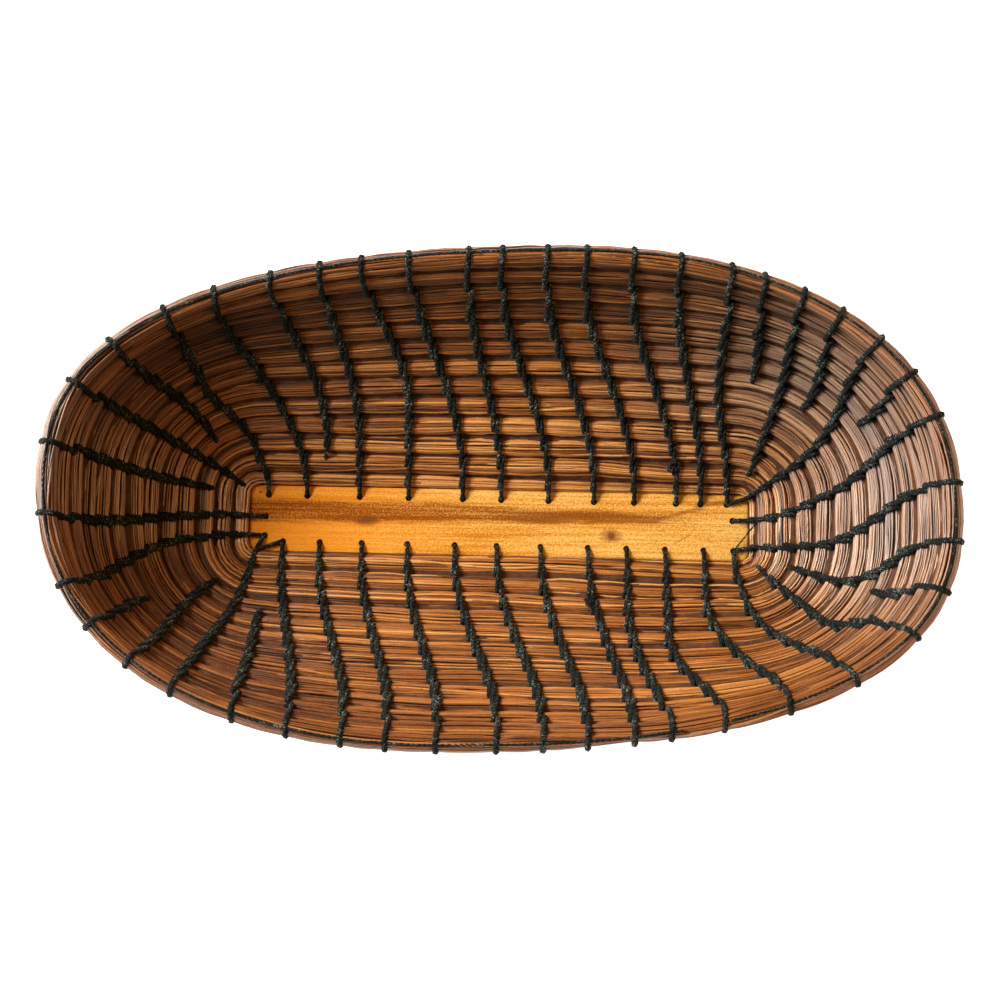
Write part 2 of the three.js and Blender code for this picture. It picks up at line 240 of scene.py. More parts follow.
# Floor, in metres: flat as far as its radius, and rising from there to the sweep's edge
FLOOR_SIDES = 48
FLOOR_LEVEL = -0.0004
FLOOR_RADIUS = 3.0
SWEEP_RADIUS = 40.0
SWEEP_RISE = 4.0

# Lights: name, direction from +X towards +Y and height in degrees, size in metres, power and colour
LIGHT_DISTANCE = 1.6
LIGHTS = (
    ("key", 158, 40, 0.6, 31, (1.0, 0.93, 0.82)),
    ("far_side", 135, 28, 0.6, 15, (1.0, 0.91, 0.72)),
    ("cool_side", 188, 29, 1.2, 15.5, (0.62, 0.86, 1.0)),
    ("warm_fill", 5, 40, 0.6, 6.6, (1.0, 0.57, 0.22)),
)
SKY_COLOUR = (1, 0.68, 0.40, 1)
SKY_STRENGTH = 0.10

# Worked out from the sizes above
CORE_X = SLAT_LENGTH / 2 - SLAT_CORNER_RADIUS
CORE_Y = SLAT_WIDTH / 2 - SLAT_CORNER_RADIUS
RIM_HALF_LENGTH = (RIM_LENGTH - COIL_THICKNESS) / 2
RIM_HALF_WIDTH = (RIM_WIDTH - COIL_THICKNESS) / 2
HALF_THICKNESS = COIL_THICKNESS / 2
EDGE_HEIGHT = HALF_THICKNESS + SOLID_THREAD_DIAMETER
GUIDE_RADIUS = SLAT_CORNER_RADIUS + (RIM_WIDTH - SLAT_WIDTH) / 4
CORNER_WAY = GUIDE_RADIUS * np.pi / 2
LOOP_WAY = 4 * (CORE_X + CORE_Y + CORNER_WAY)
THREAD_RADIUS = sum(STITCH_PLIES)
STITCH_LIFT = HALF_THICKNESS * (1 - PINCH_DEPTH) + THREAD_RADIUS * STITCH_SEAT
UNDER_HEIGHT = TABLE_CLEARANCE + SOLID_THREAD_DIAMETER / 2
LINES = tuple(
    (*line, *LEAN_ROWS.get(number, (line[2], LEAN_END_ROW)))
    for number, line in enumerate(STITCH_LINES, 1)
)

random = np.random.default_rng(29)


def fraction(value):
    """The part of a number past its whole part."""
    return value - np.floor(value)


def smoothstep(value, low, high):
    """0 below low, 1 above high, and 3t^2 - 2t^3 between them."""
    t = np.clip((value - low) / (high - low), 0, 1)
    return t * t * (3 - 2 * t)


def unit(vectors):
    """Vectors scaled to length 1."""
    return vectors / np.maximum(np.linalg.norm(vectors, axis=-1, keepdims=True), 1e-9)


def circle(sides):
    """Points of a circle of radius 1, anticlockwise."""
    angle = 2 * np.pi * np.arange(sides) / sides
    return np.stack([np.cos(angle), np.sin(angle)], -1)


def station(share):
    """A place round the slat by its share of one loop: core point and outward direction, in plan.

    The way round is linear in pieces: along a side the core point moves, and at a corner the direction turns.
    """
    ways = (2 * CORE_Y, CORNER_WAY, 2 * CORE_X, CORNER_WAY)
    knots = np.concatenate([[0], np.cumsum(ways * 2)])
    core_x = CORE_X * np.array([1, 1, 1, -1, -1, -1, -1, 1, 1])
    core_y = CORE_Y * np.array([-1, 1, 1, 1, 1, -1, -1, -1, -1])
    angles = np.pi / 2 * np.array([0, 0, 1, 1, 2, 2, 3, 3, 4])
    way = fraction(share) * LOOP_WAY
    angle = np.interp(way, knots, angles)
    core = np.stack([np.interp(way, knots, core_x), np.interp(way, knots, core_y)], -1)
    return core, np.stack([np.cos(angle), np.sin(angle)], -1)


def inside_rim(plan_x, plan_y):
    """Whether a point in plan is inside |x/a|^n + |y/b|^n = 1, with a slight wave of its radius.

    x and y are taken along the rim's own axes, a little turned and off centre over the slat, and b grows
    slightly with x.
    """
    x = plan_x * np.cos(RIM_TURN) + (plan_y - RIM_SHIFT) * np.sin(RIM_TURN)
    y = (plan_y - RIM_SHIFT) * np.cos(RIM_TURN) - plan_x * np.sin(RIM_TURN)
    share_x = np.abs(x / RIM_HALF_LENGTH) ** RIM_SQUARENESS
    half_width = RIM_HALF_WIDTH * (1 + RIM_TAPER * x / RIM_HALF_LENGTH)
    share_y = np.abs(y / half_width) ** RIM_SQUARENESS
    angle = np.arctan2(np.sign(y) * np.sqrt(share_y), np.sign(x) * np.sqrt(share_x))
    wave = RIM_WAVE_HEIGHT * np.cos(RIM_WAVE_COUNT * angle + RIM_WAVE_PHASE) / np.hypot(x, y)
    return (share_x + share_y) ** (1 / RIM_SQUARENESS) < 1 + wave


def reach_table(count=4096, halvings=40):
    """How far it is in plan from the slat's core to the rim's centre line, round one loop, by halving."""
    shares = np.arange(count + 1) / count
    core, out = station(np.minimum(shares, 1 - 1e-9))
    low = np.zeros(count + 1)
    high = np.full(count + 1, RIM_LENGTH)
    for _ in range(halvings):
        middle = (low + high) / 2
        point = core + out * middle[:, None]
        inside = inside_rim(point[:, 0], point[:, 1])
        low = np.where(inside, middle, low)
        high = np.where(inside, high, middle)
    return shares, low


REACH_SHARES, REACHES = reach_table()


def rows_at(share):
    """How many rows the wall has at a place: one more each time round, until the coil's end tapers away."""
    since_end = fraction(share - COIL_START_PLACE)
    taper = smoothstep(1 - since_end, 0, COIL_END_TAPER)
    return COIL_LOOPS - 1 + COIL_START_SHARE + since_end * taper


def wall_arc(share):
    """The wall's arc at a place: core, direction, bend radius, last slope, length and rows to the rim."""
    core, out = station(share)
    reach = np.interp(fraction(share), REACH_SHARES, REACHES)
    run = reach - SLAT_CORNER_RADIUS
    end_share = ((core[..., 0] + out[..., 0] * reach) / RIM_HALF_LENGTH) ** 2
    rise = SIDE_RISE + (END_RISE - SIDE_RISE) * end_share
    last_slope = 2 * np.arctan2(rise, run) - FIRST_SLOPE
    bend = run / (np.sin(last_slope) - np.sin(FIRST_SLOPE))
    length = bend * (last_slope - FIRST_SLOPE)
    return core, out, bend, last_slope, length, rows_at(share) - 0.5


def wall_point(share, rows, lift):
    """A point of the wall: rows counts up from the slat's edge, and lift is the way in from the middle.

    The slope grows evenly with the rows, so a section of the wall is an arc of a circle.
    """
    core, out, bend, last_slope, length, last_row = wall_arc(share)
    slope = FIRST_SLOPE + (last_slope - FIRST_SLOPE) * rows / last_row
    run = SLAT_CORNER_RADIUS + bend * (np.sin(slope) - np.sin(FIRST_SLOPE)) - lift * np.sin(slope)
    height = EDGE_HEIGHT + bend * (np.cos(FIRST_SLOPE) - np.cos(slope)) + lift * np.cos(slope)
    return np.concatenate([core + out * run[..., None], height[..., None]], -1)


def row_height(share):
    """The height of one row along the wall, in millimetres."""
    length, last_row = wall_arc(share)[4:]
    return length / last_row


def along_row(share, rows, near):
    """The way from a little before a place to a little past it, along the row."""
    return wall_point(share + near, rows, 0.0) - wall_point(share - near, rows, 0.0)


def way_along(share, rows, near=0.0008):
    """Millimetres along the row for one whole loop, as it runs at this place."""
    return np.linalg.norm(along_row(share, rows, near), axis=-1) / (2 * near)


def row_direction(share, rows, near=0.002):
    """The way along the row at a place, as unit vectors."""
    return unit(along_row(share, rows, near))


def stitch_share(line, rows):
    """Where a line of stitches is at a height on the wall: it eases from its start to its rim place."""
    start, rim, _, lean_from, lean_to = line
    return (start + (rim - start) * smoothstep(rows, lean_from, lean_to)) / 1000


def oval_section(squareness, count=1440):
    """Points of |x|^n + |y|^n = 1 from -x over +y, as a table by their share of the way along its outline."""
    angle = np.pi - 2 * np.pi * np.arange(count + 1) / count
    x = np.sign(np.cos(angle)) * np.abs(np.cos(angle)) ** (2 / squareness)
    y = np.sign(np.sin(angle)) * np.abs(np.sin(angle)) ** (2 / squareness)
    steps = np.hypot(np.diff(x), np.diff(y))
    way = np.concatenate([[0], np.cumsum(steps)])
    return way / way[-1], x, y


def on_section(share, section):
    """The two coordinates of an oval section at a share of its outline."""
    shares, x, y = section
    return np.interp(share, shares, x), np.interp(share, shares, y)


def path_frame(paths, across):
    """Two directions square to each path and to each other: across, made square, and tangent x across."""
    tangent = unit(np.gradient(paths, axis=1))
    across = unit(across - tangent * np.sum(across * tangent, -1, keepdims=True))
    return across, np.cross(tangent, across)


def closed_rings(rings, poles):
    """Skins over rings of shape (skins, rings, sides, 3), closed at both ends by a pole."""
    count, _, sides = rings.shape[:3]
    index = np.arange(rings.size // 3).reshape(rings.shape[:3])
    turned = np.roll(index, -1, axis=2)
    quads = np.stack([index[:, :-1], turned[:, :-1], turned[:, 1:], index[:, 1:]], -1)
    pole = index.size + np.arange(2 * count).reshape(count, 2, 1).repeat(sides, 2)
    first = np.stack([turned[:, 0], index[:, 0], pole[:, 0]], -1)
    last = np.stack([index[:, -1], turned[:, -1], pole[:, 1]], -1)
    points = np.concatenate([rings.reshape(-1, 3), poles.reshape(-1, 3)])
    return points, quads.reshape(-1, 4), np.concatenate([first, last]).reshape(-1, 3)


def tubes(paths, across, radii, sides):
    """Round tubes along paths of shape (tubes, points, 3), with a ring of sides points at each point.

    A ring is centre + radius * (cos a * across + sin a * tangent x across).
    """
    across, upward = path_frame(paths, across)
    cosine, sine = circle(sides).T[..., None]
    ring = cosine * across[:, :, None] + sine * upward[:, :, None]
    return closed_rings(paths[:, :, None] + radii[:, :, None, None] * ring, paths[:, [0, -1]])


def per_tube_point(values, sides):
    """Spreads values of shape (tubes, points) over the points that tubes() makes."""
    rings = np.repeat(values.reshape(-1), sides)
    return np.concatenate([rings, values[:, [0, -1]].reshape(-1)])


def join_meshes(meshes):
    """Puts several (points, quads, triangles) into one."""
    points, quads, triangles = zip(*meshes)
    firsts = np.cumsum([0, *map(len, points[:-1])])
    quads = [faces + first for faces, first in zip(quads, firsts)]
    triangles = [faces + first for faces, first in zip(triangles, firsts)]
    return np.concatenate(points), np.concatenate(quads), np.concatenate(triangles)


def fill_mesh(name, points, quads, triangles):
    """A Blender mesh from arrays of points in millimetres, four-sided faces and three-sided faces."""
    mesh = bpy.data.meshes.new(name)
    mesh.vertices.add(len(points))
    mesh.vertices.foreach_set("co", (points * MILLIMETRE).astype(np.float32).ravel())
    corners = np.concatenate([quads.ravel(), triangles.ravel()]).astype(np.int32)
    starts = np.concatenate([4 * np.arange(len(quads)), 4 * len(quads) + 3 * np.arange(len(triangles))])
    mesh.loops.add(len(corners))
    mesh.loops.foreach_set("vertex_index", corners)
    mesh.polygons.add(len(starts))
    mesh.polygons.foreach_set("loop_start", starts.astype(np.int32))
    mesh.polygons.foreach_set("use_smooth", np.ones(len(starts), dtype=bool))
    mesh.update(calc_edges=True)
    mesh.validate()
    return mesh


def add_attribute(mesh, name, values):
    """A number at each point of the mesh, for its material."""
    attribute = mesh.attributes.new(name, "FLOAT", "POINT")
    attribute.data.foreach_set("value", values.astype(np.float32))


def add_object(name, data):
    """An object for a mesh, a light or a camera, in the scene."""
    added = bpy.data.objects.new(name, data)
    bpy.context.collection.objects.link(added)
    return added


def add_piece(mesh, material, slot, *nodes):
    """An object for a finished mesh, that rides on the part and stands for some of its solids."""
    piece = add_object(mesh.name, mesh)
    mesh.materials.append(material)
    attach(piece, "root")
    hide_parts(*nodes)


class Finish:
    """A material under construction: a shader, and a short way to add and join nodes."""

    def __init__(self, name):
        self.material = bpy.data.materials.new(name)
        self.material.use_nodes = True
        self.tree = self.material.node_tree
        self.shader = self.tree.nodes["Principled BSDF"]

    def node(self, kind, inputs=None, **settings):
        node = self.tree.nodes.new(kind)
        for name, value in settings.items():
            setattr(node, name, value)
        for key, value in (inputs or {}).items():
            self.feed(node.inputs[key], value)
        return node

    def feed(self, socket, value):
        if isinstance(value, bpy.types.NodeSocket):
            self.tree.links.new(value, socket)
        else:
            socket.default_value = value

    def set(self, **inputs):
        for name, value in inputs.items():
            self.feed(self.shader.inputs[name.replace("_", " ")], value)

    def math(self, operation, first, second=0.0, clamp=False):
        values = {0: first, 1: second}
        return self.node("ShaderNodeMath", values, operation=operation, use_clamp=clamp).outputs[0]

    def add(self, first, second, clamp=False):
        return self.math("ADD", first, second, clamp)

    def less(self, first, second):
        return self.math("SUBTRACT", first, second)

    def times(self, product, *values):
        for value in values:
            product = self.math("MULTIPLY", product, value)
        return product

    def apart(self, first, second):
        """How far two values are from each other."""
        return self.math("ABSOLUTE", self.less(first, second))

    def centred(self, value, weight):
        """A noise moved to lie about 0, and weighted."""
        return self.times(self.less(value, 0.5), weight)

    def range(self, value, low, high, new_low=0.0, new_high=1.0):
        """Eases from one new value at low to the other at high."""
        values = dict(enumerate((value, low, high, new_low, new_high)))
        return self.node("ShaderNodeMapRange", values, interpolation_type="SMOOTHSTEP").outputs[0]

    def attribute(self, name):
        return self.node("ShaderNodeAttribute", attribute_name=name).outputs["Fac"]

    def ramp(self, value, stops):
        """Colours by value: the first stop, the last, and then those between them."""
        node = self.node("ShaderNodeValToRGB", {"Fac": value})
        ends = node.color_ramp.elements
        for place, (position, colour) in enumerate(stops):
            stop = ends[place] if place < 2 else ends.new(position)
            stop.position = position
            stop.color = (*colour, 1)
        return node.outputs["Color"]

    def noise(self, scales, detail=3.0, roughness=0.55, place=None):
        """A noise over the object or another place, with one scale, or one for each axis."""
        place = place or self.node("ShaderNodeTexCoord").outputs["Object"]
        mapping = self.node("ShaderNodeMapping", {"Vector": place, "Scale": np.full(3, scales, float)})
        node = self.node("ShaderNodeTexNoise", {
            "Vector": mapping.outputs["Vector"], "Scale": 1.0, "Detail": detail, "Roughness": roughness,
        })
        return node.outputs["Fac"]

    def mix(self, share, first, second):
        return self.node("ShaderNodeMix", {0: share, 6: first, 7: second}, data_type="RGBA").outputs[2]

    def stain(self, colour, stain, *marks):
        """A colour stained by another, as far as the product of some marks."""
        return self.mix(self.times(*marks), colour, (*stain, 1))

    def bump(self, height, strength, distance):
        node = self.node("ShaderNodeBump", {"Height": height, "Strength": strength, "Distance": distance})
        self.feed(self.shader.inputs["Normal"], node.outputs["Normal"])


def needle_finish():
    """Dry pine needles: a tone for each needle with painted light and shade in stretches, streaks along it, a
    painted sheen that greys some stretches, and a satin skin.
    """
    finish = Finish("pine_needles")
    tone = finish.attribute("needle_tone")
    place = finish.node("ShaderNodeCombineXYZ", {
        "X": finish.attribute("needle_way"), "Y": finish.attribute("needle_side"), "Z": tone,
    })
    streaks = finish.noise((0.14, 3.2, 74.0), 5.0, 0.7, place.outputs[0])
    value = finish.add(tone, finish.centred(streaks, 0.65))
    value = finish.add(value, finish.centred(finish.noise(1300.0, 3.0, 0.7), 0.45))
    value = finish.add(value, finish.centred(finish.noise(42.0), 0.35), True)
    colour = finish.ramp(value, (
        (0.0, (0.040, 0.009, 0.002)),
        (1.0, (0.82, 0.40, 0.120)),
        (0.25, (0.15, 0.041, 0.006)),
        (0.5, (0.34, 0.107, 0.018)),
        (0.75, (0.54, 0.202, 0.042)),
    ))
    # Painted sheen: stretches greyed towards a pale grey stand in for the whitish reflection of the lights on
    # the needles.
    sheen_grey = finish.mix(tone, (0.15, 0.11, 0.08, 1), (0.58, 0.49, 0.41, 1))
    colour = finish.mix(finish.attribute("needle_sheen"), colour, sheen_grey)
    specks = finish.range(finish.noise(900.0, 2.0), 0.62, 0.75)
    colour = finish.stain(colour, (0.05, 0.018, 0.008), specks, 0.45)
    finish.set(Base_Color=colour, Roughness=finish.range(streaks, 0.2, 0.8, 0.28, 0.46))
    finish.set(Specular_IOR_Level=0.8, Coat_Weight=1.0, Coat_Roughness=0.28)
    finish.bump(streaks, 0.35, 0.0003)
    return finish.material


def core_finish():
    """The inside of a bundle, seen only between its needles, painted dark as a painted shade for the gaps
    between them.
    """
    finish = Finish("bundle_inside_shade")
    fibres = finish.noise(260.0, 4.0)
    # Painted shade: far darker than the needles, so that the gaps between them read as shadow.
    colour = finish.ramp(fibres, ((0.3, (0.042, 0.014, 0.005)), (0.75, (0.16, 0.054, 0.016))))
    finish.set(Base_Color=colour, Roughness=0.85)
    finish.bump(fibres, 0.5, 0.0008)
    return finish.material


def thread_finish():
    """Dark green-black waxed thread with a pale bloom of fibres."""
    finish = Finish("waxed_thread")
    flecks = finish.noise(1500.0, 3.0, 0.65)
    clouds = finish.noise(160.0, 2.0)
    colour = finish.ramp(finish.add(flecks, finish.centred(clouds, 0.4)), (
        (0.44, (0.0028, 0.0036, 0.0036)),
        (0.72, (0.27, 0.30, 0.265)),
        (0.59, (0.011, 0.0145, 0.0138)),
    ))
    finish.set(Base_Color=colour, Roughness=0.8, Specular_IOR_Level=0.18)
    finish.set(Sheen_Weight=0.07, Sheen_Roughness=0.5, Sheen_Tint=(0.6, 0.68, 0.62, 1))
    finish.bump(flecks, 0.9, 0.0005)
    return finish.material


def wood_finish():
    """Oiled yellow-orange wood: fine grain along the slat, a darker streak, knots, a scratch and painted
    light that lifts its shadowed left end.

    The streak, its heart and the line along its edge are bands, |y + sway - level| < half width, that start
    and end at places along x.
    """
    wood = Finish("slat_wood")
    metres = wood.node("ShaderNodeTexCoord").outputs["Object"]
    axes = wood.node("ShaderNodeSeparateXYZ", {"Vector": metres})
    x, y = axes.outputs["X"], axes.outputs["Y"]
    grain = wood.noise((16, 900, 900), 5.0, 0.65)
    pores = wood.noise((260, 2600, 2600), 2.0)
    clouds = wood.noise((16, 70, 70))
    speckle = wood.noise(1300.0, 2.0)
    sway = wood.centred(wood.noise((9, 30, 30), 2.0), 0.008)
    ragged = wood.centred(wood.noise((55, 380, 380), 4.0, 0.6), 0.004)
    level = wood.add(y, wood.add(sway, ragged))

    value = wood.add(wood.times(grain, 0.4), wood.times(clouds, 0.2))
    value = wood.add(value, wood.times(speckle, 0.4))
    colour = wood.ramp(value, (
        (0.42, (0.55, 0.182, 0.010)),
        (0.58, (0.90, 0.545, 0.170)),
        (0.5, (0.77, 0.356, 0.052)),
    ))
    # Painted light: towards the left end the wood is painted a brighter, deeper orange, lifting the end that
    # lies in the left rim's shadow.
    colour = wood.stain(colour, (0.98, 0.325, 0.012), wood.range(x, 0.01, -0.10, 0.0, 0.75))

    streak_width = wood.range(x, -0.09, 0.075, 0.0054, 0.0016)
    streak = wood.range(wood.less(wood.apart(level, 0.0031), streak_width), 0.0012, -0.0016)
    grainy = wood.range(value, 0.58, 0.43, 0.45, 1.0)
    colour = wood.stain(
        colour, (0.26, 0.054, 0.0005), streak, wood.range(x, 0.088, 0.066), grainy, 0.95)
    heart = wood.range(wood.apart(level, 0.0028), 0.0030, 0.001)
    colour = wood.stain(
        colour, (0.24, 0.066, 0.006), heart, wood.range(x, -0.012, 0.016), wood.range(x, 0.078, 0.056), 0.6)
    rising = wood.times(wood.range(x, 0.058, 0.104), 0.0105)
    edge = wood.range(wood.apart(wood.less(level, rising), 0.0010), 0.0011, 0.0003)
    colour = wood.stain(colour, (0.22, 0.06, 0.01), edge, wood.range(x, -0.02, 0.02), 0.55)

    for knot_x, knot_y, half_length, half_width, depth in KNOTS:
        along = wood.math("DIVIDE", wood.less(x, knot_x), half_length)
        upward = wood.math("DIVIDE", wood.less(level, knot_y), half_width)
        spread = wood.add(wood.math("POWER", along, 2.0), wood.math("POWER", upward, 2.0))
        mark = wood.range(wood.add(spread, wood.times(grain, 0.5)), 1.3, 0.3)
        colour = wood.stain(colour, (0.2, 0.06, 0.012), mark, depth)

    off_x = wood.less(x, SCRATCH_PLACE[0])
    off_y = wood.less(y, SCRATCH_PLACE[1])
    cosine, sine = np.cos(SCRATCH_TURN), np.sin(SCRATCH_TURN)
    lengthwise = wood.add(wood.times(off_x, cosine), wood.times(off_y, sine))
    crosswise = wood.apart(wood.times(off_y, cosine), wood.times(off_x, sine))
    scratch = wood.range(crosswise, 0.0006, 0.0001)
    faded = wood.range(wood.math("ABSOLUTE", lengthwise), *SCRATCH_FADE)
    colour = wood.stain(colour, (0.24, 0.08, 0.015), scratch, faded, 0.45)
    colour = wood.stain(colour, (0.30, 0.09, 0.012), wood.range(pores, 0.56, 0.72), 0.35)
    wood.set(Base_Color=colour, Roughness=wood.range(grain, 0.2, 0.8, 0.42, 0.56))
    wood.set(Coat_Weight=0.02, Coat_Roughness=0.3, Specular_IOR_Level=0.1)
    wood.bump(wood.add(grain, pores), 0.12, 0.0003)
    return wood.material


def bundle_middle(loops):
    """The bundle's middle and half height, in rows up the wall, at a place in the coil counted in loops.

    A bundle lies between the loop before it and its own top edge. Against the slat it fills the room.
    """
    since_start = np.maximum(loops, 0)
    ends_on_rim = loops > COIL_LOOPS - 1
    outer = np.where(ends_on_rim, rows_at(COIL_START_PLACE + loops), COIL_START_SHARE + since_start)
    below = COIL_START_SHARE + since_start - 1
    inner = np.where(loops < 1, below * smoothstep(loops, 0.93, 1.0), below)
    inner = np.maximum(inner, 0)
    return (outer + inner) / 2, (outer - inner) / 2


def bundle_half_thickness(half):
    """Half a bundle's thickness by its half height in rows: full, and less where the bundle is thin."""
    return HALF_THICKNESS * np.clip(half * THICKNESS_PER_ROW, THINNEST_BUNDLE, 1)


def coil_way_table(steps_per_loop=256):
    """Length of the coil in millimetres up to each place in it, counted in loops."""
    loops = np.linspace(-COIL_LEAD_IN, COIL_LOOPS, COIL_LOOPS * steps_per_loop + 1)
    middle, _ = bundle_middle(loops)
    points = wall_point(COIL_START_PLACE + loops, middle, 0.0)
    steps = np.linalg.norm(np.diff(points, axis=0), axis=1)
    return loops, np.concatenate([[0], np.cumsum(steps)])


def pinch_at(share, rows):
    """How far stitches draw a bundle in: a narrow hollow, exp(-(way off)^2), at each of their lines."""
    drawn = np.zeros_like(share)
    for line in LINES:
        off = fraction(share - stitch_share(line, rows) + 0.5) - 0.5
        sewn = rows > line[2] - 0.5
        drawn += np.exp(-(off * LOOP_WAY / PINCH_WIDTH) ** 2) * sewn
    return 1 - PINCH_DEPTH * np.minimum(drawn, 1)


def needle_slots():
    """Every needle of the coil: its start and length along it, its place round the bundle, and if it strays.

    Needles follow one another in each place round the bundle, and each starts before the last has ended.
    """
    needles = []
    count = int(COIL_WAYS[-1] / (sum(NEEDLE_LENGTHS) / 2 - NEEDLE_OVERLAP)) + 4
    for slot in range(NEEDLES_ROUND_BUNDLE):
        length = random.uniform(*NEEDLE_LENGTHS, count)
        start = np.cumsum(length - NEEDLE_OVERLAP) - length - random.uniform(0, NEEDLE_LENGTHS[0])
        needles.append((start, length, np.full(count, slot / NEEDLES_ROUND_BUNDLE)))
    strays = STRAYS_PER_LOOP * COIL_LOOPS
    start = random.uniform(0, COIL_WAYS[-1] - NEEDLE_LENGTHS[1], strays)
    length = random.uniform(*STRAY_LENGTHS, strays) * NEEDLE_LENGTHS[0]
    needles.append((start, length, random.uniform(0, 1, strays)))
    start, length, place = np.concatenate(needles, axis=1)
    start = np.maximum(start, 0)
    stray = np.arange(len(start)) >= len(start) - strays
    end_loops = COIL_LOOPS - COIL_END_LEFT_OFF - random.uniform(0, COIL_END_SPREAD, len(start))
    length = np.minimum(length, np.interp(end_loops, COIL_PLACES, COIL_WAYS) - start)
    inside_coil = length > 2 * NEEDLE_TIP_LENGTH
    return [values[inside_coil] for values in (start, length, place, stray)]


def between_steps(value, steps):
    """A slow change along the coil, linear between random steps that are 1 apart."""
    return np.interp(value, np.arange(len(steps)), steps)


def in_places(places, share, rows):
    """What a list of stretches adds up to: the sum of amount * exp(-(way round off)^2 - (rows off)^2)."""
    total = np.zeros_like(share)
    for place, row, reach, row_reach, amount in places:
        off = (fraction(share - place + 0.5) - 0.5) / reach
        total += amount * np.exp(-off ** 2 - ((rows - row) / row_reach) ** 2)
    return total


def round_bundle(place, stray, along):
    """Where needles lie round their bundle, as shares of its outline, and the phases of their waves.

    A needle swings by sin(turns) + sin(2 * other turns) / 2, and slides evenly from one end to the other.
    """
    count = len(place)
    spacing = 1 / NEEDLES_ROUND_BUNDLE
    phase = random.uniform(0, 2 * np.pi, (count, 3))
    turns = random.uniform(*NEEDLE_TURNS, (count, 2))
    wander = np.sin(2 * np.pi * turns[:, :1] * along + phase[:, :1])
    wander = wander + 0.5 * np.sin(4 * np.pi * turns[:, 1:] * along + phase[:, 1:2])
    swing = np.where(stray, STRAY_WANDER, NEEDLE_WANDER)[:, None] * wander
    slide = random.uniform(-1, 1, (count, 1)) * np.where(stray, STRAY_SLIDE, NEEDLE_SLIDE)[:, None]
    return fraction(place[:, None] + spacing * (swing + slide * (along - 0.5))), phase


def needle_shapes(start, length, place, stray, rings):
    """Paths, inward directions and radii of needles, and the values that their material reads.

    A needle runs along the coil on its bundle's oval section, drawn in by the stitches. It stands a little
    prouder or lower than its neighbours, and its tips thin out and sink in.
    """
    count = len(start)
    along = np.linspace(0, 1, rings)[None, :]
    way = start[:, None] + along * length[:, None]
    loops = np.interp(way, COIL_WAYS, COIL_PLACES)
    share = COIL_START_PLACE + loops
    round_share, phase = round_bundle(place, stray, along)
    across, thick = on_section(round_share, SECTION)

    middle, half = bundle_middle(loops)
    sway = ROW_SWAY * between_steps(way / ROW_SWAY_STEP, SWAY_STEPS)
    middle = middle + sway * np.minimum(half, 0.5) * (1 - smoothstep(loops, *ROW_SWAY_STOPS))
    from_end = np.minimum(along, 1 - along) * length[:, None]
    tip = smoothstep(from_end, 0, NEEDLE_TIP_LENGTH)
    proud = 1 + NEEDLE_WAVE_HEIGHT * np.sin(2 * np.pi * NEEDLE_WAVES * along + phase[:, 2:])
    proud = proud + random.normal(0, NEEDLE_PROUD_SPREAD, (count, 1))
    proud = proud + np.where(stray, STRAY_PROUD, 0.0)[:, None] - NEEDLE_TIP_SINK * (1 - tip)
    proud = proud * pinch_at(share, middle)

    height = row_height(share)
    bed = NEEDLE_RADIUS * NEEDLE_BED
    standing = smoothstep(COIL_LOOPS - loops, 0, COIL_END_LAID_DOWN)
    half_height = np.maximum(half * height - bed - ROW_VALLEY * standing, LEAST_HALF_HEIGHT)
    half_height = half_height + np.where(across < 0, COIL_END_OVERLAP * (1 - standing), 0)
    rows = middle + across * proud * half_height / height
    lift = thick * proud * (bundle_half_thickness(half) - bed)
    paths = wall_point(share, rows, lift)
    inward = wall_point(share, rows, lift + 1) - paths
    thinning = NEEDLE_TIP_RADIUS + (1 - NEEDLE_TIP_RADIUS) * tip
    radius = NEEDLE_RADIUS * random.uniform(*NEEDLE_RADIUS_SPREAD, (count, 1)) * thinning

    spread = np.interp(loops, TONE_SPREAD_LOOPS, TONE_SPREADS)
    tone = 0.5 + spread * random.normal(0, 1, (count, 1))
    tone = tone + between_steps(loops * TONE_STEPS_PER_LOOP, TONE_STEPS)
    # Painted light and shade: the inner rows are painted lighter and the rows towards the rim darker, and the
    # listed stretches lighter and darker, standing in for the light on the low rows and the shade of the
    # rims.
    tone = tone + ROW_LIGHT_AND_SHADE * (0.5 - loops / COIL_LOOPS) + in_places(TONE_LIGHT_SHADE_PLACES, share, middle)
    tone = np.clip(tone - TIP_TONE * (1 - smoothstep(from_end, 0, TIP_TONE_LENGTH)), *TONE_LIMITS)
    # The greyed stretches that the material reads are a painted sheen.
    return paths, inward, radius, {
        "needle_way": way, "needle_tone": tone, "needle_sheen": in_places(SHEEN_PLACES, share, middle),
    }


def make_needles(material):
    """The coil's needles, one piece for each loop of the coil."""
    needles = needle_slots()
    start, length = needles[:2]
    middle_way = np.minimum(start + length / 2, COIL_WAYS[-1])
    loop = np.minimum(np.interp(middle_way, COIL_WAYS, COIL_PLACES).astype(int), COIL_LOOPS - 1)
    for row in range(COIL_LOOPS):
        chosen = loop == row
        rings = NEEDLE_RINGS if row < TIGHT_LOOPS else OUTER_NEEDLE_RINGS
        paths, inward, radius, values = needle_shapes(*(part[chosen] for part in needles), rings)
        mesh = fill_mesh(f"needle_row_{row + 1:02d}", *tubes(paths, inward, radius, NEEDLE_SIDES))
        for name, value in values.items():
            add_attribute(mesh, name, per_tube_point(value, NEEDLE_SIDES))
        side = np.abs(np.arange(NEEDLE_SIDES) - NEEDLE_SIDES / 2)
        side = np.tile(side, paths.shape[0] * paths.shape[1])
        add_attribute(mesh, "needle_side", np.concatenate([side, np.zeros(2 * len(paths))]))
        add_piece(mesh, material, "pine_needle", "needle_coil")


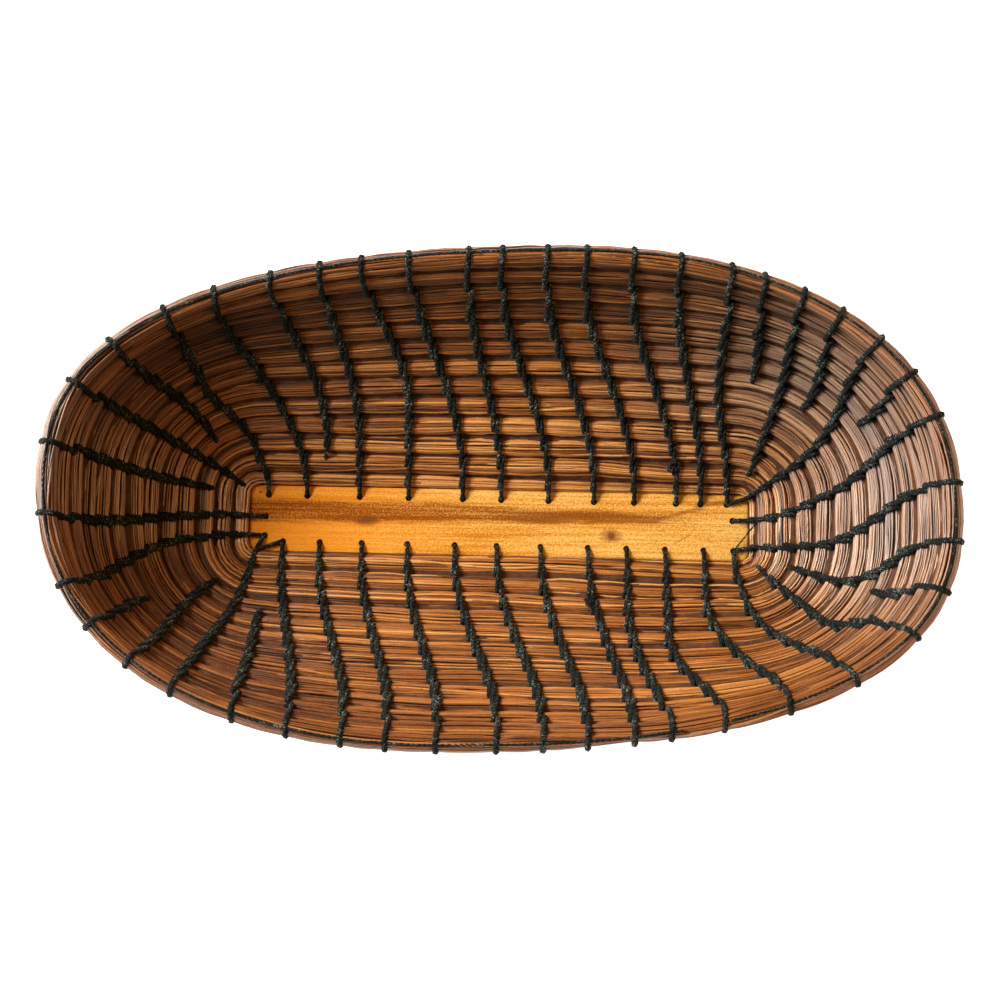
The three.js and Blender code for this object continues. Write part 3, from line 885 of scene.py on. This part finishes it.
def make_core(material):
    """The inside of the coil: a tube of the bundle's section, thinner, but wider so that rows meet."""
    loops = np.linspace(-COIL_LEAD_IN, COIL_LOOPS - COIL_END_LEFT_OFF, COIL_LOOPS * CORE_RINGS_PER_LOOP)
    share = COIL_START_PLACE + loops
    middle, half = bundle_middle(loops)
    across, thick = on_section(np.arange(CORE_SIDES) / CORE_SIDES, SECTION)
    top = 1 - CORE_RIM_INSET * smoothstep(loops, COIL_LOOPS - 1 - CORE_INSET_LOOPS, COIL_LOOPS - 1)
    width = CORE_WIDTH_SHARE * np.where(across > 0, top[:, None], 1)
    rows = middle[:, None] + across * width * half[:, None]
    lift = thick * CORE_THICKNESS_SHARE * bundle_half_thickness(half)[:, None]
    rings = wall_point(share[:, None], rows, lift)
    poles = wall_point(share[[0, -1]], middle[[0, -1]], 0.0)
    mesh = fill_mesh("bundle_core", *closed_rings(rings[None], poles))
    add_piece(mesh, material, "pine_needle", "needle_coil")


def ways_of(paths):
    """The way along each path up to each of its points."""
    steps = np.linalg.norm(np.diff(paths, axis=1), axis=-1)
    return np.concatenate([np.zeros((len(paths), 1)), np.cumsum(steps, axis=1)], 1)


def even_steps(paths, count):
    """The same paths with points at even steps along them."""
    evenly = np.linspace(0, 1, count)
    return np.stack([
        np.stack([np.interp(evenly * way[-1], way, path[:, axis]) for axis in range(3)], -1)
        for way, path in zip(ways_of(paths), paths)
    ])


def rounded_path(corners, passes=3):
    """Rounds a path's corners by cutting each leg at a quarter and three quarters, a few times over."""
    path = corners
    for _ in range(passes):
        near = path[:-1] * 0.75 + path[1:] * 0.25
        far = path[:-1] * 0.25 + path[1:] * 0.75
        path = np.concatenate([path[:1], np.stack([near, far], 1).reshape(-1, 3), path[-1:]])
    return path


def twisted(paths, across, plies=STITCH_PLIES, sizes=1.0):
    """Two plies wound round each path: centre + offset * (cos t * across + sin t * tangent x across)."""
    radius, offset = plies
    sizes = np.broadcast_to(sizes, len(paths))[:, None]
    across, upward = path_frame(paths, across)
    start_turn = random.uniform(0, 2 * np.pi, (len(paths), 1))
    turn = (2 * np.pi * ways_of(paths) / PLY_TURN_LENGTH + start_turn)[..., None]
    off = sizes[..., None] * offset * (np.cos(turn) * across + np.sin(turn) * upward)
    strands = np.concatenate([paths + off, paths - off])
    radii = np.broadcast_to(np.concatenate([sizes, sizes]) * radius, strands.shape[:2])
    return tubes(strands, np.concatenate([across, across]), radii, THREAD_SIDES)


def row_edges(share, first_row):
    """Top edges of the rows that are sewn at a place, in rows up the wall, and the rim's own."""
    edges = COIL_START_SHARE + fraction(share - COIL_START_PLACE) + np.arange(COIL_LOOPS + 1)
    top = rows_at(share)
    sewn = (edges > first_row + SEWN_ROW_GAPS[0]) & (edges < top - SEWN_ROW_GAPS[1])
    return edges[sewn], top


def stitch_loops(line):
    """Closed loops of thread, one for each row: up the inside, over the row's top edge and down the outside.

    A loop is a squarish oval in the wall's section, from part of a row below its own row to that row's top
    edge. Each loop is one thread's width further round than the last, and leans back a little.
    """
    rim, first_row = line[1:3]
    edges, top = row_edges(rim / 1000, first_row)
    highs = edges[edges < top - RIM_STITCH_ROWS + STITCH_OVERLAPS[1] + RIM_STITCH_GAP]
    overlaps = np.interp(highs, (0, FULL_OVERLAP_ROW), STITCH_OVERLAPS)
    foot = SLAT_STITCH_ROW if first_row == 0 else first_row - FIRST_STITCH_DROP
    lows = np.maximum(highs - 1 - overlaps, foot)
    round_x, round_y = on_section(np.linspace(0, 1, STITCH_POINTS), STITCH_SECTION)
    middle = (highs + lows)[:, None] / 2
    rows = middle + round_x * (highs - lows)[:, None] / 2

    centre = stitch_share(line, middle)
    loop_way = way_along(centre, middle)
    lean = (stitch_share(line, middle + 0.5) - stitch_share(line, middle - 0.5)) * loop_way
    share = centre + (lean - STITCH_STEP) * (rows - middle) / loop_way
    paths = even_steps(wall_point(share, rows, round_y * STITCH_LIFT), STITCH_POINTS)
    return paths, row_direction(share, middle), np.interp(highs, STITCH_SIZE_ROWS, STITCH_SIZES)


def rim_stitch(line):
    """The last stitch of a line: up the inside of the last rows, round the rim and down the outside.

    Round the rim it follows the bundle's own oval, |rows|^n + |lift|^n = 1, a little way out.
    """
    top = rows_at(line[1] / 1000)
    low = top - RIM_STITCH_ROWS
    shoulder = top - 0.5
    reach = STITCH_LIFT - RIM_STITCH_SINK
    turn = np.linspace(0, np.pi, 25)
    power = 2 / BUNDLE_SQUARENESS
    over_rows = shoulder + RIM_STITCH_HEIGHT * np.sin(turn) ** power
    over_lift = reach * np.sign(np.cos(turn)) * np.abs(np.cos(turn)) ** power
    climb = np.linspace(0, 1, 16)[:-1]
    climb_rows = low + (shoulder - low) * climb
    climb_lift = reach * smoothstep(climb, -0.02, 0.16)
    rows = np.concatenate([climb_rows, over_rows, climb_rows[::-1]])[None]
    lift = np.concatenate([climb_lift, over_lift, -climb_lift[::-1]])[None]
    ahead = RIM_STITCH_AHEAD * STITCH_STEP * np.clip((top - rows) / RIM_STITCH_ROWS, 0, 1)
    share = stitch_share(line, rows) + ahead / way_along(stitch_share(line, rows), rows)
    path = even_steps(wall_point(share, rows, lift), LONG_STITCH_POINTS)
    return path, row_direction(line[1] / 1000, top - 1)


def hole_place(share):
    """Where a hole of the slat stands in plan."""
    core, out = station(share)
    inset = END_HOLE_INSET if abs(out[0]) > abs(out[1]) else HOLE_INSET
    return core + out * (SLAT_CORNER_RADIUS - inset)


def hole_stitch(line, hole_share):
    """The stitch from a hole of the slat: up out of the hole, over the first row and back underneath.

    It is given by the corners of its path, which are then rounded.
    """
    share = line[0] / 1000
    high = row_edges(share, 0)[0][0]
    hole = hole_place(hole_share)
    rows = np.array([SLAT_STITCH_ROW, 0.4, high - 0.3, high, high - 0.3, 0.55])
    over = wall_point(share, rows, STITCH_LIFT * np.array([0.8, 1, 1, 0, -1, -1]))
    under = wall_point(share, 0.25, 0.0)[:2]
    edge = hole + HOLE_RADIUS * 0.4 * unit(over[0, :2] - hole)
    above = SLAT_THICKNESS + THREAD_RADIUS * HOLE_STITCH_SIZE * 0.8
    corners = np.array([
        [*hole, 2.5], [*hole, SLAT_THICKNESS - 2.5], [*edge, SLAT_THICKNESS - 0.4], [*edge, above],
        *over, [*under, UNDER_HEIGHT], [*hole, UNDER_HEIGHT], [*hole, 3.0],
    ])
    path = even_steps(rounded_path(corners)[None], LONG_STITCH_POINTS)
    return path, row_direction(share, 0.5)


def thread_knot(share, rows):
    """A closed overhand knot lying on the wall: a trefoil, (sin t + 2 sin 2t, cos t - 2 cos 2t, -sin 3t)."""
    turn = np.linspace(0, 2 * np.pi, STITCH_POINTS)
    place = wall_point(share, rows, STITCH_LIFT + 2 * KNOT_SIZE)
    inward = unit(place - wall_point(share, rows, STITCH_LIFT))
    along = row_direction(share, rows)
    upward = np.cross(inward, along)
    right = (np.sin(turn) + 2 * np.sin(2 * turn))[:, None] * along
    up = (np.cos(turn) - 2 * np.cos(2 * turn))[:, None] * upward
    out = -np.sin(3 * turn)[:, None] * inward
    return (place + KNOT_SIZE * (right + up + out))[None], inward


def loose_tail(line):
    """A thin end of thread from a line's hole, in a low arch over the slat's corner to the first rows."""
    hole = np.array([*hole_place(line[0] / 1000), SLAT_THICKNESS + 0.9])
    end = wall_point(TAIL_END[0] / 1000, TAIL_END[1], HALF_THICKNESS + 0.4)
    share = np.linspace(0, 1, STITCH_POINTS)[:, None]
    upward = np.array([0.0, 0.0, 1.0])
    return (hole + (end - hole) * share + TAIL_ARCH * upward * np.sin(np.pi * share))[None], upward


def make_stitches(material):
    """Every line of stitches as one piece of twisted thread."""
    for number, line in enumerate(LINES, 1):
        paths, across, sizes = stitch_loops(line)
        parts = [twisted(paths, across, sizes=sizes)]
        parts.append(twisted(*rim_stitch(line), RIM_STITCH_PLIES))
        holes = (number,) if line[2] == 0 else SHARED_HOLES.get(number, ())
        for hole in holes:
            path, across = hole_stitch(line, STITCH_LINES[hole - 1][0] / 1000)
            parts.append(twisted(path, across, sizes=HOLE_STITCH_SIZE))
        for knot_line, share, rows in THREAD_KNOTS:
            if knot_line == number:
                parts.append(twisted(*thread_knot(share / 1000, rows), RIM_PLIES))
        if number == TAIL_LINE:
            parts.append(twisted(*loose_tail(line), TAIL_PLIES))
        mesh = fill_mesh(f"stitch_thread_{number:02d}", *join_meshes(parts))
        add_piece(mesh, material, "waxed_thread", f"stitch_line_{number:02d}")


def make_rim_thread(material):
    """The thread round the rim, on the inner shoulder of the last row, swaying in two slow waves."""
    loops = np.linspace(*RIM_THREAD_LOOPS, RIM_THREAD_POINTS)
    share = (COIL_START_PLACE + loops)[None]
    sway = 0.07 * np.sin(2 * np.pi * 23 * loops) + 0.05 * np.sin(2 * np.pi * 9 * loops + 1)
    rows = rows_at(share) - RIM_THREAD_DROP + 0.03 * sway
    lift = RIM_THREAD_LIFT + sway
    path = wall_point(share, rows, lift)
    across = wall_point(share, rows, lift + 1) - path
    mesh = fill_mesh("rim_running_thread", *twisted(path, across, RIM_PLIES))
    add_piece(mesh, material, "waxed_thread", "rim_thread")


def rounded_rectangle(length, width, radius, corner_points=9):
    """A rectangle's outline with round corners, anticlockwise."""
    signs = np.array([(1, 1), (-1, 1), (-1, -1), (1, -1)])
    middles = signs * [length / 2 - radius, width / 2 - radius]
    angles = np.pi / 2 * (np.arange(4)[:, None] + np.linspace(0, 1, corner_points))
    corners = radius * np.stack([np.cos(angles), np.sin(angles)], -1)
    return (middles[:, None] + corners).reshape(-1, 2)


def capped_loft(outlines, heights):
    """Outlines at their heights joined into one closed skin, with flat ends."""
    rings = np.stack([
        np.column_stack([outline, np.full(len(outline), height)])
        for outline, height in zip(outlines, heights)
    ])
    count, sides = rings.shape[:2]
    index = np.arange(count * sides).reshape(count, sides)
    turned = np.roll(index, -1, axis=1)
    quads = np.stack([index[:-1], turned[:-1], turned[1:], index[1:]], -1).reshape(-1, 4)
    return rings.reshape(-1, 3), [*quads.tolist(), index[0, ::-1].tolist(), index[-1].tolist()]


def loft_object(name, points, faces):
    """An object for a skin given by points in millimetres and faces of any number of corners."""
    mesh = bpy.data.meshes.new(name)
    mesh.from_pydata((points * MILLIMETRE).tolist(), [], faces)
    mesh.update()
    return add_object(name, mesh)


def slat_outline(inset):
    """The slat's outline in plan, set in from its edge."""
    return rounded_rectangle(SLAT_LENGTH - 2 * inset, SLAT_WIDTH - 2 * inset, SLAT_CORNER_RADIUS - inset)


def plank_shape():
    """The slat without its holes: a pad, then a plank whose lower and upper edges are quarter circles."""
    pad = rounded_rectangle(SLAT_LENGTH - 2 * PAD_END_INSET, SLAT_WIDTH - 2 * PAD_INSET, SLAT_CORNER_RADIUS)
    outlines = [pad, pad]
    heights = [0.0, PAD_HEIGHT]
    for turn in np.radians([0, 45, 90]):
        outlines.append(slat_outline(LOWER_EDGE_RADIUS * (1 - np.sin(turn))))
        heights.append(PAD_HEIGHT + LOWER_EDGE_RADIUS * (1 - np.cos(turn)))
    for turn in np.radians(np.arange(0, 91, 15)):
        outlines.append(slat_outline(UPPER_EDGE_RADIUS * (1 - np.cos(turn))))
        heights.append(SLAT_THICKNESS - UPPER_EDGE_RADIUS * (1 - np.sin(turn)))
    return capped_loft(outlines, heights)


def drill_shape():
    """A drill for each line that starts on the slat: narrow at its foot and wider at its mouth."""
    radii = (HOLE_FOOT_RADIUS, HOLE_FOOT_RADIUS, HOLE_RADIUS, HOLE_RADIUS)
    neck, mouth = SLAT_THICKNESS - HOLE_NECK_DEPTH, SLAT_THICKNESS - HOLE_MOUTH_DEPTH
    levels = (-DRILL_OVERSHOOT, neck, mouth, SLAT_THICKNESS + DRILL_OVERSHOOT)
    drill, faces = capped_loft([circle(HOLE_SIDES) * radius for radius in radii], levels)
    starts = [start for start, _, first_row in STITCH_LINES if first_row == 0]
    points = np.concatenate([drill + [*hole_place(start / 1000), 0] for start in starts])
    firsts = np.arange(len(starts)) * len(drill)
    return points, [[corner + first for corner in face] for first in firsts.tolist() for face in faces]


def make_slat(material):
    """The slat: a plank with rounded edges and a pad underneath, drilled for the stitches."""
    plank = loft_object("slat", *plank_shape())
    drills = loft_object("drills", *drill_shape())
    cut = plank.modifiers.new("holes", "BOOLEAN")
    cut.object = drills
    cut.operation = "DIFFERENCE"
    cut.solver = "EXACT"
    drilled = bpy.data.meshes.new_from_object(plank.evaluated_get(bpy.context.evaluated_depsgraph_get()))
    drilled.name = "slat_plank"
    bpy.data.objects.remove(plank)
    bpy.data.objects.remove(drills)
    drilled.polygons.foreach_set("use_smooth", np.ones(len(drilled.polygons), dtype=bool))
    drilled.set_sharp_from_angle(angle=np.radians(35))
    drilled.materials.clear()
    add_piece(drilled, material, "slat_wood", "base_slat")


def make_camera():
    """The camera over the basket, a little towards its near side, with a slight roll.

    It stands off from its target, tilted and rolled, and is then turned and moved a little to the far side.
    """
    target = (0, 0, 0.040)
    distance = 0.800
    moved_far = 0.0016
    tilt, roll, turn = np.radians([8.4, 0.67, 0.58])
    data = bpy.data.cameras.new("camera")
    data.lens = 70.0
    data.sensor_width = 36.0
    data.shift_x = 0.0008
    data.shift_y = 0.008
    camera = add_object("camera", data)
    over_basket = Matrix.Translation((0, moved_far, 0)) @ Matrix.Rotation(turn, 4, "Z")
    looking = Matrix.Rotation(tilt, 4, "X") @ Matrix.Rotation(roll, 4, "Z")
    away = Matrix.Translation((0, 0, distance))
    camera.matrix_world = over_basket @ Matrix.Translation(target) @ looking @ away
    bpy.context.scene.camera = camera


def add_area_light(name, azimuth, elevation, size, power, colour):
    """A round soft light that looks at the basket from its direction, 0 being +X and 90 being +Y."""
    data = bpy.data.lights.new(name, "AREA")
    data.shape = "DISK"
    data.size = size
    data.energy = power
    data.color = colour
    light = add_object(name, data)
    turn, rise = np.radians(azimuth), np.radians(elevation)
    away = Vector((np.cos(turn) * np.cos(rise), np.sin(turn) * np.cos(rise), np.sin(rise)))
    target = Vector((0, 0, 0.03))
    light.location = target + away * LIGHT_DISTANCE
    light.rotation_euler = away.to_track_quat("Z", "Y").to_euler()


def make_studio():
    """A pale floor that rises slowly far away, two soft lights from the far left, a wide cool one from the
    left, a weak warm one from the right and a dim sky.
    """
    mesh = bpy.data.meshes.new("floor")
    ring = circle(FLOOR_SIDES)
    points, faces = capped_loft([ring * FLOOR_RADIUS, ring * SWEEP_RADIUS], [FLOOR_LEVEL, SWEEP_RISE])
    mesh.from_pydata(points.tolist(), [], faces[:-1])
    floor = add_object("floor", mesh)
    finish = Finish("pale_floor")
    finish.set(Base_Color=(0.9, 0.9, 0.9, 1), Roughness=0.9)
    finish.set(Emission_Color=(1, 1, 1, 1), Emission_Strength=0.92)
    mesh.materials.append(finish.material)

    for light in LIGHTS:
        add_area_light(*light)
    world = bpy.data.worlds.new("studio")
    world.use_nodes = True
    sky = world.node_tree.nodes["Background"]
    sky.inputs["Color"].default_value = SKY_COLOUR
    sky.inputs["Strength"].default_value = SKY_STRENGTH
    bpy.context.scene.world = world
    bpy.context.scene.view_settings.view_transform = "Standard"


COIL_PLACES, COIL_WAYS = coil_way_table()
TONE_STEPS = random.normal(0, TONE_STEP_SPREAD, COIL_LOOPS * TONE_STEPS_DRAWN)
SWAY_STEPS = random.normal(0, 1, int(COIL_WAYS[-1] / ROW_SWAY_STEP) + 2)
SECTION = oval_section(BUNDLE_SQUARENESS)
STITCH_SECTION = oval_section(STITCH_SQUARENESS)

make_camera()
make_studio()
make_slat(wood_finish())
make_needles(needle_finish())
make_core(core_finish())
thread = thread_finish()
make_stitches(thread)
make_rim_thread(thread)
